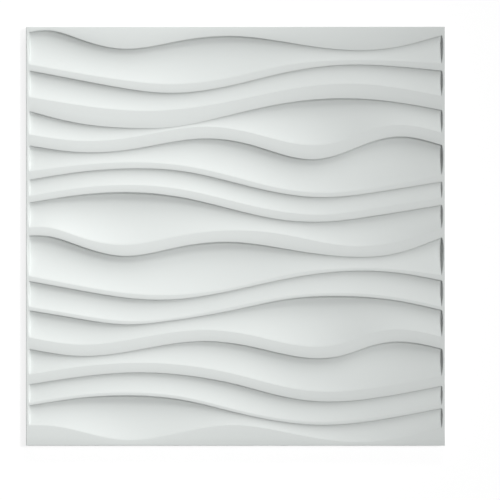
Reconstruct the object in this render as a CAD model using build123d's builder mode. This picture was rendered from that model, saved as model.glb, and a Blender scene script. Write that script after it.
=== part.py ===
from build123d import *

import os
from math import pi, sin

# Wave cladding panel: one square PVC sheet, formed into flat bands and scoops, hollow behind

# Driving dimensions, in millimetres
panel_width = 500.0
panel_length = 500.0
panel_thickness = 15.0
sheet_thickness = 1.0

# Scoop section, as shares of the scoop's local width: a steep lip under the upper edge, a hollow that
# goes on down to the deepest place, and a ramp that bends up to the lower edge, all in flat strips
lip_share = 0.03
lip_depth_share = 0.06
scoop_depth_share = 0.15
scoop_deepest_at = 0.4
strip_shares = (0.0, lip_share, 0.18, scoop_deepest_at, 0.69, 1.0)

# Scoop ends: the foot of the end wall stands in from the side edge, and the wall leans outwards
end_foot_inset = 4.3
end_wall_angle = 69.0

# Backs of the scoops: how far the lip and the end wall move out behind the sheet
lip_growth = 0.6 * sheet_thickness
end_growth = 0.7 * sheet_thickness

# Sections that the sheet is lofted through
section_count = 27

# Wave drawing, on a square of this side. The scoops' edges are waves of four kinds, and each kind is
# drawn through its own stations across from the left: its crests, its dips and its steepest places
drawing_side = 500.0
two_dips = (5, 25, 60, 115, 180, 250, 310, 390, 440, 495)
left_dip = (5, 60, 120, 170, 250, 310, 385, 440, 495)
ripple = (5, 65, 130, 213, 270, 345, 380, 410, 448, 495)
right_dip = (5, 60, 125, 190, 250, 310, 357, 420, 495)

# Upper and lower edge of every scoop, from the top: the kind of wave, and its drop from the top edge
scoop_edges = (
    (
        (two_dips, (6.5, 4.3, 13.3, 26.3, 17.5, 11.2, 18.4, 28, 24.5, 10.5)),
        (left_dip, (45, 55, 64.3, 68.6, 59.4, 46.1, 40, 40.8, 44)),
    ),
    (
        (left_dip, (52.5, 63, 74, 79, 68.9, 54.6, 45.4, 47.3, 52.3)),
        (left_dip, (84, 93, 99.7, 99.5, 87.8, 75.5, 68, 72.5, 82.6)),
    ),
    (
        (left_dip, (101, 114.7, 120.8, 120, 103.8, 91, 85.4, 89.8, 99.3)),
        (ripple, (128.8, 136.2, 131.3, 119.2, 127, 141.5, 135.2, 123.7, 117.3, 126.1)),
    ),
    (
        (ripple, (142, 149.8, 145.6, 133.4, 141.3, 158.2, 149.9, 138.2, 131, 141)),
        (right_dip, (172.5, 165.5, 161.8, 166.2, 179.5, 194.1, 198.2, 192.2, 177.2)),
    ),
    (
        (right_dip, (182.6, 173.9, 169.2, 173, 186.4, 199.7, 203.5, 197.1, 185)),
        (right_dip, (202, 193, 188.9, 194.9, 208.9, 221.4, 224.2, 216.1, 204.9)),
    ),
    (
        (right_dip, (209.8, 201.2, 197.5, 204.4, 218.9, 231, 232.6, 225, 212.9)),
        (two_dips, (239.5, 239.4, 249.5, 260.3, 250.2, 243, 248.4, 261.9, 257.3, 241.3)),
    ),
    (
        (two_dips, (249.2, 249.8, 260, 273.5, 263.3, 257, 265.2, 274.7, 270.8, 251.8)),
        (left_dip, (297.8, 308.4, 318, 320.2, 310.7, 296.3, 288.2, 289.5, 296.5)),
    ),
    (
        (left_dip, (303.8, 313.9, 323.5, 325.7, 314, 301, 291.5, 293.3, 302.6)),
        (left_dip, (334.4, 343.5, 351.3, 348.5, 333.5, 322, 318, 322.7, 334)),
    ),
    (
        (left_dip, (338.8, 347.9, 355.3, 351.2, 337.6, 325.2, 321.6, 326.4, 338)),
        (ripple, (371, 379.4, 372.4, 361.9, 368.5, 382, 377, 366.5, 361.4, 369.8)),
    ),
    (
        (ripple, (384.8, 393, 386.3, 375.2, 382, 395.7, 391.6, 381.4, 375.8, 384)),
        (right_dip, (415, 406.3, 401.2, 404.2, 414.8, 430, 435.7, 430.5, 417)),
    ),
    (
        (right_dip, (426.7, 418.4, 412.7, 416, 426.6, 441.9, 447.4, 442.5, 428.9)),
        (right_dip, (448.9, 440, 436.5, 442.2, 456.7, 468.5, 471.7, 465.5, 452)),
    ),
    (
        (right_dip, (452, 443.5, 440, 446, 460.3, 472, 475.2, 469.3, 455.4)),
        (two_dips, (475.8, 475.9, 481.7, 493, 485.3, 475.5, 484, 495.5, 492, 479.4)),
    ),
)


def curve_bends(stations, drops):
    """Second derivatives at the stations of the smooth curve through the drops, straight at its ends."""
    shares = [0.0]
    bends = [0.0]
    for i in range(1, len(stations) - 1):
        before = stations[i] - stations[i - 1]
        after = stations[i + 1] - stations[i]
        turn = 6 * ((drops[i + 1] - drops[i]) / after - (drops[i] - drops[i - 1]) / before)
        pivot = 2 * (before + after) - before * shares[-1]
        shares.append(after / pivot)
        bends.append((turn - before * bends[-1]) / pivot)
    bends.append(0.0)
    for i in range(len(stations) - 2, 0, -1):
        bends[i] -= shares[i] * bends[i + 1]
    return bends


def curve_drop(stations, drops, bends, place):
    """Drop of that curve at a place across the drawing."""
    i = max(k for k in range(len(stations) - 1) if k == 0 or stations[k] <= place)
    step = stations[i + 1] - stations[i]
    before = stations[i + 1] - place
    after = place - stations[i]
    curved = (bends[i] * before**3 + bends[i + 1] * after**3) / (6 * step)
    straight_in = (drops[i] / step - bends[i] * step / 6) * before
    straight_out = (drops[i + 1] / step - bends[i + 1] * step / 6) * after
    return curved + straight_in + straight_out


edge_curves = [[(*edge, curve_bends(*edge)) for edge in edges] for edges in scoop_edges]


def edges_at(x):
    """Y of every scoop's upper and lower edge at x."""
    place = (x / panel_width + 0.5) * drawing_side
    stretch = panel_length / drawing_side
    return [
        [panel_length / 2 - curve_drop(*curve, place) * stretch for curve in curves]
        for curves in edge_curves
    ]


def scoop_depth(share):
    """Depth of a scoop at a share of its width below its upper edge, as a share of that width."""
    if share < lip_share:
        return lip_depth_share * share / lip_share
    if share < scoop_deepest_at:
        back = (scoop_deepest_at - share) / (scoop_deepest_at - lip_share)
        return scoop_depth_share - (scoop_depth_share - lip_depth_share) * back**2
    along = (share - scoop_deepest_at) / (1 - scoop_deepest_at)
    return scoop_depth_share * (1 - along**2)


def scoop_bed(upper, lower, top, lip_out):
    """Line down a scoop's lip and hollow and up its ramp from the height top, its lip moved out."""
    width = upper - lower
    bed = []
    for share in strip_shares:
        out = lip_out if share <= lip_share else 0
        bed.append((upper - share * width + out, top - scoop_depth(share) * width))
    return bed


def sheet_line(x, wall, lip_out):
    """Line over the sheet at x from edge to edge, on the face or, with a wall, on the back."""
    half = panel_length / 2 - wall
    top = panel_thickness - wall
    line = [(half, 0), (half, top)]
    for upper, lower in edges_at(x):
        line += scoop_bed(upper, lower, top, lip_out)
    return [*line, (-half, top), (-half, 0)]


def sheet_section(x):
    """Section of the whole sheet at x."""
    with BuildSketch(Plane.YZ.offset(x)) as section:
        with BuildLine():
            Polyline(*sheet_line(x, 0, 0), *sheet_line(x, sheet_thickness, lip_growth)[::-1], close=True)
        make_face()
    return section.sketch


def section_places():
    """X of the sections that the sheet is lofted through, closer together towards its ends."""
    spread = [2 * i / (section_count - 1) - 1 for i in range(section_count)]
    return [foot * (0.5 * t + 0.5 * sin(t * pi / 2)) for t in spread]


def end_block(side, wall, lip_out, end_out):
    """Block past the feet of the scoops' end walls at one side, with those walls cut into it."""
    top = panel_thickness - wall
    rise = Vector(side, 0, 0).rotate(Axis.Y, -side * end_wall_angle)
    with BuildPart() as block:
        with BuildSketch(Plane.YZ.offset(side * foot)):
            Rectangle(panel_length - 2 * wall, top, align=(Align.CENTER, Align.MIN))
        extrude(amount=side * (end_foot_inset - wall))
        for upper, lower in edges_at(side * foot):
            bed = scoop_bed(upper, lower, top, lip_out)
            lid = top + sheet_thickness
            with BuildSketch(Plane.YZ.offset(side * foot)) as section:
                with BuildLine():
                    Polyline(*bed, (lower, lid), (upper + lip_out, lid), close=True)
                make_face()
            if end_out:
                extrude(section.sketch, amount=side * end_out, mode=Mode.SUBTRACT)
            moved = section.sketch.moved(Location((side * end_out, 0, 0)))
            extrude(moved, amount=panel_thickness, dir=rise, mode=Mode.SUBTRACT)
    return block.part


def off_joint(part):
    """Faces of a part, without those where the ends join the middle."""
    joints = []
    for x in (-foot, foot):
        joints += part.faces().filter_by(Plane.YZ).filter_by_position(Axis.X, x - 0.01, x + 0.01)
    return [face for face in part.faces() if face not in joints]


# The middle of the formed sheet, between the scoops' feet, and its two ends
foot = panel_width / 2 - end_foot_inset
with BuildPart() as middle:
    loft([sheet_section(x) for x in section_places()])
ends = [
    end_block(side, 0, 0, 0) - end_block(side, sheet_thickness, lip_growth, end_growth)
    for side in (-1, 1)
]

# One sheet, sewn together from them
with BuildPart() as wave_panel:
    skin = [face for part in (middle.part, *ends) for face in off_joint(part)]
    add(Solid(Shell(skin)), clean=False)

os.makedirs("parts", exist_ok=True)
wave_panel.part.label = "wave_panel"
export_step(wave_panel.part, "parts/wave_panel.step")
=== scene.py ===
"""Looks of the wave cladding panel: its smooth formed face, satin white PVC, studio light and camera."""

import math

import bpy
import numpy as np
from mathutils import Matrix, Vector


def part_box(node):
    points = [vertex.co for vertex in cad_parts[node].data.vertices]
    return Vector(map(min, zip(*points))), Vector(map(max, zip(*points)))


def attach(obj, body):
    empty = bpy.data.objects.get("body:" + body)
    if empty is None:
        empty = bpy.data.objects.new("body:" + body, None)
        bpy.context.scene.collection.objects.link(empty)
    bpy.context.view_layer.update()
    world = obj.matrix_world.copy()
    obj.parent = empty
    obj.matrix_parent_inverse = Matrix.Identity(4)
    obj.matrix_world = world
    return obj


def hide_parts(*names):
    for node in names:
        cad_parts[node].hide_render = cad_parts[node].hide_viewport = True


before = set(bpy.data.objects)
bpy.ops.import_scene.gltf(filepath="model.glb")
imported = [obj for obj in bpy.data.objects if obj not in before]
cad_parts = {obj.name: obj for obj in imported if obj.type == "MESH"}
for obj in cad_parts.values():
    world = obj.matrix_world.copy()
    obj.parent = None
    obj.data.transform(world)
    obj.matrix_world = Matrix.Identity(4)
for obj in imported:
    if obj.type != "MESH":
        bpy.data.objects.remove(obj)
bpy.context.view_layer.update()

MM = 0.001

# Panel, in millimetres, from the frame
panel_low, panel_high = (np.array(corner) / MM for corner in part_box("wave_panel"))
panel_width, panel_length, panel_thickness = panel_high - panel_low
sheet_thickness = 1.0

# Scoop section, as shares of the scoop's local width: a steep lip under the upper edge, a hollow that
# goes on down to the deepest place, and a ramp that bends up to the lower edge
lip_share = 0.03
lip_depth_share = 0.06
scoop_depth_share = 0.15
scoop_deepest_at = 0.4

# Scoop ends: the foot of the end wall stands in from the side edge, and the wall leans outwards
end_foot_inset = 4.3
end_wall_angle = math.radians(69)
foot_x = panel_width / 2 - end_foot_inset

# Wave drawing, on a square of this side. The scoops' edges are waves of four kinds, and each kind is
# drawn through its own stations across from the left: its crests, its dips and its steepest places
drawing_side = 500.0
two_dips = (5, 25, 60, 115, 180, 250, 310, 390, 440, 495)
left_dip = (5, 60, 120, 170, 250, 310, 385, 440, 495)
ripple = (5, 65, 130, 213, 270, 345, 380, 410, 448, 495)
right_dip = (5, 60, 125, 190, 250, 310, 357, 420, 495)

# Upper and lower edge of every scoop, from the top: the kind of wave, and its drop from the top edge
scoop_edges = (
    (
        (two_dips, (6.5, 4.3, 13.3, 26.3, 17.5, 11.2, 18.4, 28, 24.5, 10.5)),
        (left_dip, (45, 55, 64.3, 68.6, 59.4, 46.1, 40, 40.8, 44)),
    ),
    (
        (left_dip, (52.5, 63, 74, 79, 68.9, 54.6, 45.4, 47.3, 52.3)),
        (left_dip, (84, 93, 99.7, 99.5, 87.8, 75.5, 68, 72.5, 82.6)),
    ),
    (
        (left_dip, (101, 114.7, 120.8, 120, 103.8, 91, 85.4, 89.8, 99.3)),
        (ripple, (128.8, 136.2, 131.3, 119.2, 127, 141.5, 135.2, 123.7, 117.3, 126.1)),
    ),
    (
        (ripple, (142, 149.8, 145.6, 133.4, 141.3, 158.2, 149.9, 138.2, 131, 141)),
        (right_dip, (172.5, 165.5, 161.8, 166.2, 179.5, 194.1, 198.2, 192.2, 177.2)),
    ),
    (
        (right_dip, (182.6, 173.9, 169.2, 173, 186.4, 199.7, 203.5, 197.1, 185)),
        (right_dip, (202, 193, 188.9, 194.9, 208.9, 221.4, 224.2, 216.1, 204.9)),
    ),
    (
        (right_dip, (209.8, 201.2, 197.5, 204.4, 218.9, 231, 232.6, 225, 212.9)),
        (two_dips, (239.5, 239.4, 249.5, 260.3, 250.2, 243, 248.4, 261.9, 257.3, 241.3)),
    ),
    (
        (two_dips, (249.2, 249.8, 260, 273.5, 263.3, 257, 265.2, 274.7, 270.8, 251.8)),
        (left_dip, (297.8, 308.4, 318, 320.2, 310.7, 296.3, 288.2, 289.5, 296.5)),
    ),
    (
        (left_dip, (303.8, 313.9, 323.5, 325.7, 314, 301, 291.5, 293.3, 302.6)),
        (left_dip, (334.4, 343.5, 351.3, 348.5, 333.5, 322, 318, 322.7, 334)),
    ),
    (
        (left_dip, (338.8, 347.9, 355.3, 351.2, 337.6, 325.2, 321.6, 326.4, 338)),
        (ripple, (371, 379.4, 372.4, 361.9, 368.5, 382, 377, 366.5, 361.4, 369.8)),
    ),
    (
        (ripple, (384.8, 393, 386.3, 375.2, 382, 395.7, 391.6, 381.4, 375.8, 384)),
        (right_dip, (415, 406.3, 401.2, 404.2, 414.8, 430, 435.7, 430.5, 417)),
    ),
    (
        (right_dip, (426.7, 418.4, 412.7, 416, 426.6, 441.9, 447.4, 442.5, 428.9)),
        (right_dip, (448.9, 440, 436.5, 442.2, 456.7, 468.5, 471.7, 465.5, 452)),
    ),
    (
        (right_dip, (452, 443.5, 440, 446, 460.3, 472, 475.2, 469.3, 455.4)),
        (two_dips, (475.8, 475.9, 481.7, 493, 485.3, 475.5, 484, 495.5, 492, 479.4)),
    ),
)

# Softness of the formed edges: the relief is averaged over a few places, about this far apart, each with
# its weight
edge_softness = 0.25
soft_places = edge_softness * np.array((-1.7, -0.9, 0, 0.9, 1.7))
soft_weights = (0.1, 0.24, 0.32, 0.24, 0.1)

# Rim: its rounding, the turns that the rounding has rings at, and the shares of the height below it
rim_radius = 0.8
rim_turns = np.radians((30, 60, 90))
edge_shares = (0.4, 0.75, 1)

# Steep places: the least upright part of a normal that the back is set off by, and the angle of a crease
least_upright = 0.4
crease_angle = math.radians(50)

# Fineness of the mesh: even columns between the scoops' ends, columns over their walls in millimetres
# past the foot, and rows down a scoop's lip and bed as shares of its width
columns_between_ends = 150
wall_columns = np.array((-1.2, -0.5, 0, 0.4, 0.8, 1.2, 1.6, 2.0, 2.4, 2.8, 3.15))
lip_rows = lip_share * np.array((0, 0.35, 0.7, 1, 1.35, 2))
bed_rows = (0.1, 0.17, 0.27, scoop_deepest_at, 0.52, 0.64, 0.76, 0.88, 0.96, 1)
scoop_rows = (*lip_rows, *bed_rows)


def wave_line(stations, drops, places):
    """Drops, at places across the drawing, of the natural cubic spline through a wave's points."""
    stations = np.array(stations, float)
    drops = np.array(drops, float)
    steps = np.diff(stations)
    slopes = np.diff(drops) / steps
    system = np.eye(len(stations))
    pull = np.zeros(len(stations))
    for i in range(1, len(stations) - 1):
        system[i, i - 1:i + 2] = steps[i - 1], 2 * (steps[i - 1] + steps[i]), steps[i]
        pull[i] = 6 * (slopes[i] - slopes[i - 1])
    bends = np.linalg.solve(system, pull)
    i = np.clip(np.searchsorted(stations, places) - 1, 0, len(steps) - 1)
    after = places - stations[i]
    before = stations[i + 1] - places
    curved = (bends[i] * before**3 + bends[i + 1] * after**3) / (6 * steps[i])
    left = (drops[i] / steps[i] - bends[i] * steps[i] / 6) * before
    right = (drops[i + 1] / steps[i] - bends[i + 1] * steps[i] / 6) * after
    return curved + left + right


def edge_lines(x):
    """Y of every scoop's upper and lower edge at the places x, which stop at the ends of the scoops."""
    drawn = (np.clip(x, -foot_x, foot_x) / panel_width + 0.5) * drawing_side
    drops = np.array([[wave_line(*edge, drawn) for edge in edges] for edges in scoop_edges])
    return (0.5 - drops / drawing_side) * panel_length


def scoop_depth(share):
    """Depth of a scoop at shares of its width below its upper edge, as a share of that width."""
    lip = lip_depth_share * share / lip_share
    back = (scoop_deepest_at - share) / (scoop_deepest_at - lip_share)
    hollow = scoop_depth_share - (scoop_depth_share - lip_depth_share) * back**2
    along = (share - scoop_deepest_at) / (1 - scoop_deepest_at)
    ramp = scoop_depth_share * (1 - along**2)
    return np.where(share < lip_share, lip, np.where(share < scoop_deepest_at, hollow, ramp))


def relief(x, y):
    """Depth of the face below its bands: x is one row of places, y a grid with a column for each."""
    depth = np.zeros_like(y)
    past_foot = np.maximum(np.abs(x) - foot_x, 0)
    for upper, lower in edge_lines(x):
        width = upper - lower
        share = (upper - y) / width
        scoop = np.maximum(scoop_depth(share) * width - past_foot * math.tan(end_wall_angle), 0)
        depth += np.where((share > 0) & (share < 1), scoop, 0)
    return depth


def soft_relief(x, y):
    """The relief with its edges softened, as a sheet drawn over a mould has them."""
    depth = np.zeros_like(y)
    for x_offset, x_weight in zip(soft_places, soft_weights):
        for y_offset, y_weight in zip(soft_places, soft_weights):
            depth += x_weight * y_weight * relief(x + x_offset, y + y_offset)
    return depth


def column_places():
    """X of the mesh's columns: even between the scoops' ends, and close together at their walls."""
    end = np.array((*(foot_x + wall_columns), panel_width / 2 - rim_radius))
    between = np.linspace(-end[0], end[0], columns_between_ends)
    return np.concatenate((-end[:0:-1], between, end[1:]))


def row_places(x):
    """Y of the mesh's rows, a grid: rows follow the waves, close together at every edge."""
    top = np.full_like(x, panel_length / 2 - rim_radius)
    rows = [top]
    above = top
    for upper, lower in edge_lines(x):
        band = above - upper
        near = np.minimum(2 * edge_softness, band / 4)
        rows += [upper + band / 2, upper + near, upper + near / 3]
        rows += [upper + (lower - upper) * share for share in scoop_rows]
        rows += [lower - edge_softness / 2, lower - 2 * edge_softness]
        above = lower
    rows += [(rows[-1] - top) / 2, -top]
    return np.array(rows)


def grid_quads(index):
    """Quads between the neighbours of a grid of vertex numbers, facing up."""
    corners = index[1:, :-1], index[1:, 1:], index[:-1, 1:], index[:-1, :-1]
    return np.stack(corners, axis=-1).reshape(-1, 4)


def ring_quads(ring, next_ring):
    """Quads between two closed rings of vertex numbers that run clockwise seen from above."""
    corners = ring, np.roll(ring, -1), np.roll(next_ring, -1), next_ring
    return np.stack(corners, axis=-1)


def face_and_back():
    """Grids of points of the sheet's face and of its back."""
    x = column_places()
    y = row_places(x)
    face = np.stack((np.broadcast_to(x, y.shape), y, panel_thickness - soft_relief(x, y)), axis=-1)
    normals = np.cross(np.gradient(face, axis=1), -np.gradient(face, axis=0))
    upright = normals[..., 2] / np.linalg.norm(normals, axis=-1)
    inside = np.array((panel_width, panel_length)) / 2 - sheet_thickness
    back = face.copy()
    back[..., :2] = np.clip(back[..., :2], -inside, inside)
    back[..., 2] -= sheet_thickness / np.maximum(upright, least_upright)
    return face, back


def edge_rings(face_edge, back_edge):
    """Rings of points from the face's border over the rounded rim, down to the wall and in to the back."""
    rim = np.array((panel_width, panel_length)) / 2 - rim_radius
    outward = np.sign(face_edge[:, :2]) * np.isclose(np.abs(face_edge[:, :2]), rim)
    steps = [(rim_radius * math.sin(turn), rim_radius * (1 - math.cos(turn))) for turn in rim_turns]
    steps += [(rim_radius, panel_thickness * share) for share in edge_shares]
    rings = []
    for out, drop in steps:
        ring = face_edge.copy()
        ring[:, :2] += outward * out
        ring[:, 2] = panel_thickness - drop
        rings.append(ring)
    inner_foot = back_edge.copy()
    inner_foot[:, 2] = 0
    return [*rings, inner_foot]


def sheet_shape():
    """Vertices and quads of the formed sheet: its face, its turned-down edges and its hollow back."""
    face_grid, back_grid = face_and_back()
    face = face_grid.reshape(-1, 3)
    back = back_grid.reshape(-1, 3)
    index = np.arange(len(face)).reshape(face_grid.shape[:2])
    border = np.concatenate((index[0, :-1], index[:-1, -1], index[-1, :0:-1], index[:0:-1, 0]))
    rings = edge_rings(face[border], back[border])
    first = len(face) + len(back)
    ring_index = [first + i * len(border) + np.arange(len(border)) for i in range(len(rings))]
    loops = [border, *ring_index, border + len(face)]
    quads = [grid_quads(index), grid_quads(index + len(face))[:, ::-1]]
    quads += [ring_quads(loop, next_loop) for loop, next_loop in zip(loops, loops[1:])]
    return np.concatenate((face, back, *rings)), np.concatenate(quads)


def formed_sheet():
    """The panel as one formed sheet."""
    points, quads = sheet_shape()
    mesh = bpy.data.meshes.new("formed_wave_sheet")
    mesh.from_pydata((points * MM).tolist(), [], quads.tolist())
    mesh.update()
    mesh.shade_smooth()
    mesh.set_sharp_from_angle(angle=crease_angle)
    sheet = bpy.data.objects.new("formed_wave_sheet", mesh)
    bpy.context.scene.collection.objects.link(sheet)
    return sheet


# Finish of the sheet: two near whites that it drifts between, the roughness and strength of its satin,
# and the fine peel of the surface, its height in millimetres. Each varies by a noise, given as its spacing
# in millimetres and its detail
pvc_whites = ((0.705, 0.735, 0.722, 1), (0.725, 0.755, 0.742, 1))
white_noise = (90, 2)
satin_range = (0.5, 0.6)
satin_strength = 0.3
satin_noise = (12, 3)
peel_height = 0.012
peel_noise = (0.9, 1)


def noise(nodes, links, place, spacing, detail):
    """Noise over the object with a spacing in millimetres."""
    texture = nodes.new("ShaderNodeTexNoise")
    texture.inputs["Scale"].default_value = 1 / (spacing * MM)
    texture.inputs["Detail"].default_value = detail
    links.new(place.outputs["Object"], texture.inputs["Vector"])
    return texture.outputs["Fac"]


def pvc_material():
    """Satin white PVC: a faint drift of its white, an uneven satin and a fine peel."""
    material = bpy.data.materials.new("satin_white_pvc")
    material.use_nodes = True
    nodes = material.node_tree.nodes
    links = material.node_tree.links
    shader = nodes["Principled BSDF"]
    place = nodes.new("ShaderNodeTexCoord")
    white = nodes.new("ShaderNodeValToRGB")
    for stop, colour in zip(white.color_ramp.elements, pvc_whites):
        stop.color = colour
    links.new(noise(nodes, links, place, *white_noise), white.inputs["Fac"])
    links.new(white.outputs["Color"], shader.inputs["Base Color"])
    shader.inputs["Specular IOR Level"].default_value = satin_strength
    satin = nodes.new("ShaderNodeMapRange")
    satin.inputs["To Min"].default_value, satin.inputs["To Max"].default_value = satin_range
    links.new(noise(nodes, links, place, *satin_noise), satin.inputs["Value"])
    links.new(satin.outputs["Result"], shader.inputs["Roughness"])
    peel = nodes.new("ShaderNodeBump")
    peel.inputs["Distance"].default_value = peel_height * MM
    links.new(noise(nodes, links, place, *peel_noise), peel.inputs["Height"])
    links.new(peel.outputs["Normal"], shader.inputs["Normal"])
    return material


def seen_by(nodes, links, *kinds):
    """One where a ray is of one of these kinds, and nought elsewhere."""
    path = nodes.new("ShaderNodeLightPath")
    found = path.outputs[kinds[0]]
    for kind in kinds[1:]:
        either = nodes.new("ShaderNodeMath")
        either.operation = "MAXIMUM"
        links.new(found, either.inputs[0])
        links.new(path.outputs[kind], either.inputs[1])
        found = either.outputs["Value"]
    return found


# Floor: plain white paper, seen as white with a faint shadow
floor_side = 6.0
floor_white = 0.9
shadow_share = 0.2
glow_of_floor = 0.85


def floor():
    """A plain white floor, which keeps a faint shadow of the panel."""
    material = bpy.data.materials.new("white_floor")
    material.use_nodes = True
    nodes = material.node_tree.nodes
    links = material.node_tree.links
    paper = nodes["Principled BSDF"]
    paper.inputs["Base Color"].default_value = (floor_white, floor_white, floor_white, 1)
    paper.inputs["Roughness"].default_value = 1.0
    paper.inputs["Specular IOR Level"].default_value = 0.0
    shaded = nodes.new("ShaderNodeBsdfDiffuse")
    shaded.inputs["Color"].default_value = (shadow_share, shadow_share, shadow_share, 1)
    glow = nodes.new("ShaderNodeEmission")
    glow.inputs["Strength"].default_value = glow_of_floor
    seen = nodes.new("ShaderNodeAddShader")
    links.new(shaded.outputs["BSDF"], seen.inputs[0])
    links.new(glow.outputs["Emission"], seen.inputs[1])
    choice = nodes.new("ShaderNodeMixShader")
    seen_white = seen_by(nodes, links, "Is Camera Ray", "Is Glossy Ray", "Is Transmission Ray")
    links.new(seen_white, choice.inputs["Fac"])
    links.new(paper.outputs["BSDF"], choice.inputs[1])
    links.new(seen.outputs["Shader"], choice.inputs[2])
    links.new(choice.outputs["Shader"], nodes["Material Output"].inputs["Surface"])
    bpy.ops.mesh.primitive_plane_add(size=floor_side, location=(0, 0, 0))
    plane = bpy.context.object
    plane.name = "floor"
    plane.data.materials.append(material)


# Lights: suns and soft spots as azimuth from the right and elevation in degrees, and their power. The
# spots are aimed at the left of the panel, so that their light falls off towards the right
sun_angle = 10
suns = ((15, 58, 2.02), (75, 32, 0.26))
spots = ((75, 32, 110), (15, 40, 36))
spot_cone = 24
spot_radius = 0.22
lamp_aim = Vector((-0.25, -0.12, 0))
lamp_distance = 2.6
fill_strength = 0.092


def lamp(kind, azimuth, elevation, power):
    """A lamp that stands off the panel in a direction and shines back at its aim."""
    turn = math.radians(azimuth)
    rise = math.radians(elevation)
    towards = Vector((math.cos(turn) * math.cos(rise), math.sin(turn) * math.cos(rise), math.sin(rise)))
    data = bpy.data.lights.new("studio_lamp", kind)
    data.energy = power
    light = bpy.data.objects.new("studio_lamp", data)
    light.location = lamp_aim + lamp_distance * towards
    light.rotation_euler = towards.to_track_quat("Z", "Y").to_euler()
    bpy.context.scene.collection.objects.link(light)
    return data


def lights():
    """Soft keys from the right and the top."""
    for sun in suns:
        lamp("SUN", *sun).angle = math.radians(sun_angle)
    for spot in spots:
        data = lamp("SPOT", *spot)
        data.spot_size = math.radians(spot_cone)
        data.spot_blend = 1.0
        data.shadow_soft_size = spot_radius


def backdrop():
    """A backdrop that is white to the camera and a faint fill to the panel.

    To glossy rays it is only the fill, so that its white doesn't light the satin sheet.
    """
    world = bpy.data.worlds.new("studio")
    bpy.context.scene.world = world
    world.use_nodes = True
    nodes = world.node_tree.nodes
    links = world.node_tree.links
    background = nodes["Background"]
    background.inputs["Color"].default_value = (1, 1, 1, 1)
    level = nodes.new("ShaderNodeMapRange")
    level.inputs["To Min"].default_value = fill_strength
    links.new(seen_by(nodes, links, "Is Camera Ray", "Is Transmission Ray"), level.inputs["Value"])
    links.new(level.outputs["Result"], background.inputs["Strength"])


# Camera: straight down, with the panel where the photograph has it
photo_side_px = 500
panel_side_px = 419
panel_centre_px = (235.5, 236.2)
sensor_width = 36
lens_length = 200


def camera():
    """A long lens straight above the panel, so that its edges stay parallel."""
    data = bpy.data.cameras.new("camera")
    data.sensor_width = sensor_width
    data.lens = lens_length
    view = bpy.data.objects.new("camera", data)
    bpy.context.scene.collection.objects.link(view)
    pixel = panel_width / panel_side_px
    frame_width = pixel * photo_side_px
    height = panel_thickness + frame_width * lens_length / sensor_width
    centre_x = (photo_side_px / 2 - panel_centre_px[0]) * pixel
    centre_y = (panel_centre_px[1] - photo_side_px / 2) * pixel
    view.location = Vector((centre_x, centre_y, height)) * MM
    bpy.context.scene.camera = view


sheet = formed_sheet()
sheet.data.materials.append(pvc_material())
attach(sheet, "root")
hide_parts("wave_panel")
floor()
lights()
backdrop()
camera()
bpy.context.scene.view_settings.view_transform = "Standard"
